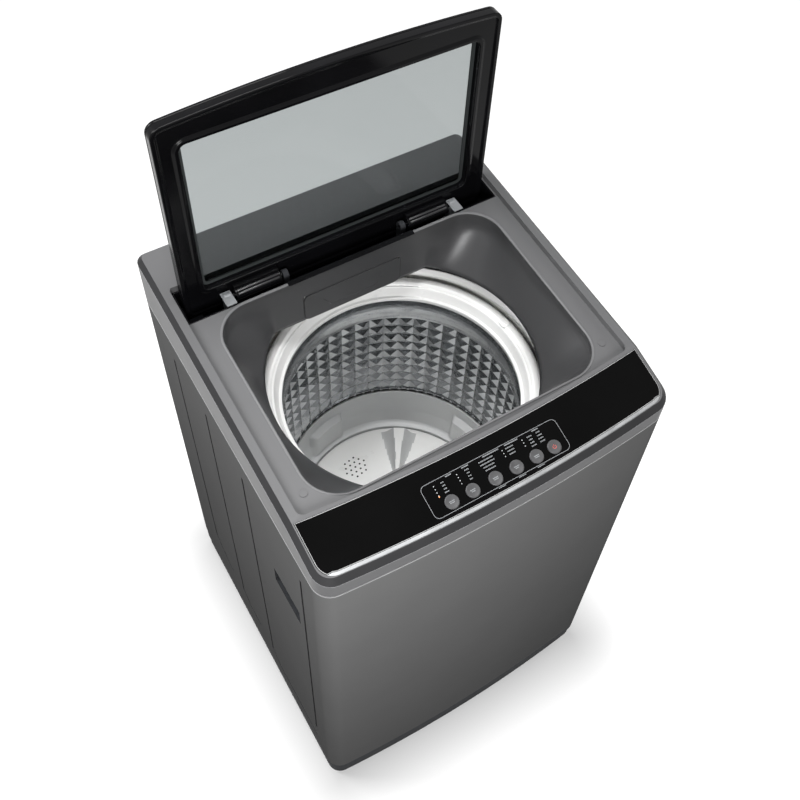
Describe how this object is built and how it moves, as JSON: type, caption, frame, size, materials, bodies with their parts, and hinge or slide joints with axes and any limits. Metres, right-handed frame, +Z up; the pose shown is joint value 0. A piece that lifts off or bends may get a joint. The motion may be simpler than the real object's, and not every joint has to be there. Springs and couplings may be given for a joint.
{
  "type": "top load washing machine",
  "caption": "Free-standing top load washing machine with a hinged glass lid, a detergent drawer, a sprung tub, and a belt-driven drum and pulsator.",
  "frame": {"origin": "on the floor under the middle of the machine", "axes": "+Z up, +Y towards the back, so the control panel faces -Y; +X to the right seen from the front"},
  "size_m": [0.52, 0.55, 1.154],
  "materials": {
    "cabinet_paint": "satin grey powder coat",
    "galvanised_steel": "galvanised sheet",
    "cover_plastic": "grey painted ABS",
    "black_plastic": "moulded, fine texture",
    "black_gloss": "high gloss",
    "bright_trim": "satin plated",
    "button_plastic": "metallic grey paint",
    "white_plastic": "moulded polypropylene",
    "pulsator_plastic": "moulded, semi gloss",
    "ring_plastic": "moulded, semi gloss",
    "drum_steel": "pressed stainless sheet",
    "bright_steel": "plated",
    "cast_alloy": "die cast",
    "motor_paint": "baked enamel",
    "black_rubber": "matt",
    "tinted_glass": "tempered, grey tint",
    "board_green": "solder mask",
    "grey_plastic": "moulded"
  },
  "bodies": {
    "root": {"cabinet_wrap": "cabinet_paint", "back_panel": "galvanised_steel", "service_cover": "galvanised_steel", "corner_brackets": "galvanised_steel", "top_cover": "cover_plastic", "well_funnel": "cover_plastic", "base_frame": "black_plastic", "hinge_trough": "black_plastic", "grip_cup_left": "black_plastic", "grip_cup_right": "black_plastic", "lid_switch": "black_plastic", "cord_gland": "black_plastic", "tact_switches": "black_plastic", "control_fascia": "black_gloss", "fascia_trim": "bright_trim", "dispenser_housing": "white_plastic", "inlet_valve": "white_plastic", "rod_ends": "white_plastic", "pressure_sensor": "white_plastic", "hinge_pins": "bright_steel", "suspension_rods": "bright_steel", "suspension_springs": "bright_steel", "case_screws": "bright_steel", "foot_locknut": "bright_steel", "run_capacitor": "cast_alloy", "fixed_feet": "black_rubber", "lid_bumpers": "black_rubber", "control_board": "board_green", "hinge_lugs": "grey_plastic", "board_case": "grey_plastic", "drain_outlet": "grey_plastic"},
    "tub": {"outer_tub": "white_plastic", "tub_cover_ring": "white_plastic", "drive_plate": "motor_paint", "gearbox": "cast_alloy", "drive_motor": "motor_paint", "drain_valve": "white_plastic", "shaft_bearings": "bright_steel", "shaft_seal": "black_rubber", "drive_belt": "black_rubber"},
    "drum": {"drum_shell": "drum_steel", "balance_ring": "ring_plastic", "drum_base": "white_plastic", "spin_shaft": "bright_steel"},
    "pulsator_unit": {"pulsator": "pulsator_plastic", "wash_shaft": "bright_steel", "pulsator_cap": "pulsator_plastic"},
    "motor_rotor": {"motor_pulley": "cast_alloy"},
    "lid": {"lid_frame": "black_plastic", "lid_glass": "tinted_glass", "lid_rim": "black_plastic", "lid_barrels": "black_plastic"},
    "drawer": {"detergent_drawer": "cover_plastic"},
    "levelling_foot": {"adjustable_foot": "black_rubber"},
    "key_1": {"button_1": "button_plastic"},
    "key_2": {"button_2": "button_plastic"},
    "key_3": {"button_3": "button_plastic"},
    "key_4": {"button_4": "button_plastic"},
    "key_5": {"button_5": "button_plastic"},
    "key_6": {"button_6": "button_plastic"}
  },
  "joints": [
    {"name": "tub_bounce", "type": "slide", "parent": "root", "child": "tub", "axis": [0, 0, 1], "range_m": [-0.02, 0.008], "stiffness_N_per_m": 20000, "springref_m": 0.01537, "deforming": ["suspension_springs"]},
    {"name": "drum_spin", "type": "hinge", "parent": "tub", "child": "drum", "pos_m": [0, -0.015, 0.43], "axis": [0, 0, 1], "continuous": true},
    {"name": "pulsator_spin", "type": "hinge", "parent": "tub", "child": "pulsator_unit", "pos_m": [0, -0.015, 0.347], "axis": [0, 0, 1], "continuous": true},
    {"name": "motor_spin", "type": "hinge", "parent": "tub", "child": "motor_rotor", "pos_m": [0, 0.135, 0.137], "axis": [0, 0, 1], "continuous": true},
    {"name": "lid_hinge", "type": "hinge", "parent": "root", "child": "lid", "pos_m": [0, 0.15, 0.837], "axis": [1, 0, 0], "range_deg": [0, 93.7]},
    {"name": "drawer_slide", "type": "slide", "parent": "root", "child": "drawer", "axis": [0, -1, 0], "range_m": [0, 0.08]},
    {"name": "foot_screw", "type": "slide", "parent": "root", "child": "levelling_foot", "axis": [0, 0, 1], "range_m": [-0.008, 0]},
    {"name": "key_1_press", "type": "slide", "parent": "root", "child": "key_1", "axis": [0, 0.2706, -0.9627], "range_m": [0, 0.0012], "stiffness_N_per_m": 600, "springref_m": -0.0005},
    {"name": "key_2_press", "type": "slide", "parent": "root", "child": "key_2", "axis": [0, 0.2706, -0.9627], "range_m": [0, 0.0012], "stiffness_N_per_m": 600, "springref_m": -0.0005},
    {"name": "key_3_press", "type": "slide", "parent": "root", "child": "key_3", "axis": [0, 0.2706, -0.9627], "range_m": [0, 0.0012], "stiffness_N_per_m": 600, "springref_m": -0.0005},
    {"name": "key_4_press", "type": "slide", "parent": "root", "child": "key_4", "axis": [0, 0.2706, -0.9627], "range_m": [0, 0.0012], "stiffness_N_per_m": 600, "springref_m": -0.0005},
    {"name": "key_5_press", "type": "slide", "parent": "root", "child": "key_5", "axis": [0, 0.2706, -0.9627], "range_m": [0, 0.0012], "stiffness_N_per_m": 600, "springref_m": -0.0005},
    {"name": "key_6_press", "type": "slide", "parent": "root", "child": "key_6", "axis": [0, 0.2706, -0.9627], "range_m": [0, 0.0012], "stiffness_N_per_m": 600, "springref_m": -0.0005}
  ],
  "couplings": [
    {"joint": "motor_spin", "follows": "pulsator_spin", "ratio": 2}
  ]
}
